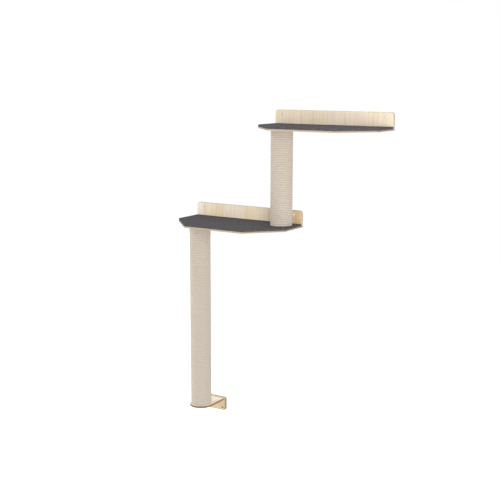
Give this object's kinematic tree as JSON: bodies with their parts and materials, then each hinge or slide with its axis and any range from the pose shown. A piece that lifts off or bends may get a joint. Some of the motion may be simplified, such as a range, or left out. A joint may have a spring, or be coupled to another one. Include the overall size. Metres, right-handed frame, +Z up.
{
  "type": "cat climbing wall",
  "caption": "Wall-hung cat climbing unit: two felt-topped shelves set at staggered heights, joined by a rope-wound post, with a longer rope-wound post down to a foot bracket.",
  "frame": {"origin": "on the wall plane, midway between the two wall holes of the upper board", "axes": "+Z up, +X to the right along the wall as seen from the room, -Y out of the wall into the room"},
  "size_m": [0.914, 0.278, 1.33],
  "materials": {
    "birch_plywood": "sanded and clear sealed, pale birch face with brown layers at the edges",
    "grey_felt": "thick needled felt, dark grey",
    "sisal_rope": "laid natural fibre rope, wound tightly",
    "cardboard_tube": "spiral wound board",
    "plug_wood": "sawn fibreboard",
    "zinc_plated_steel": "bright zinc plate"
  },
  "bodies": {
    "root": {"upper_wall_board": "birch_plywood", "upper_shelf_board": "birch_plywood", "lower_wall_board": "birch_plywood", "lower_shelf_board": "birch_plywood", "foot_plate": "birch_plywood", "foot_wall_plate": "birch_plywood", "upper_felt_pad": "grey_felt", "lower_felt_pad": "grey_felt", "short_post_rope": "sisal_rope", "long_post_rope": "sisal_rope", "short_post_tube": "cardboard_tube", "long_post_tube": "cardboard_tube", "short_post_plugs": "plug_wood", "long_post_plugs": "plug_wood", "upper_board_screws": "zinc_plated_steel", "lower_board_screws": "zinc_plated_steel", "foot_screws": "zinc_plated_steel", "short_post_tee_nuts": "zinc_plated_steel", "short_post_bolts": "zinc_plated_steel", "long_post_tee_nuts": "zinc_plated_steel", "long_post_bolts": "zinc_plated_steel"}
  },
  "joints": []
}
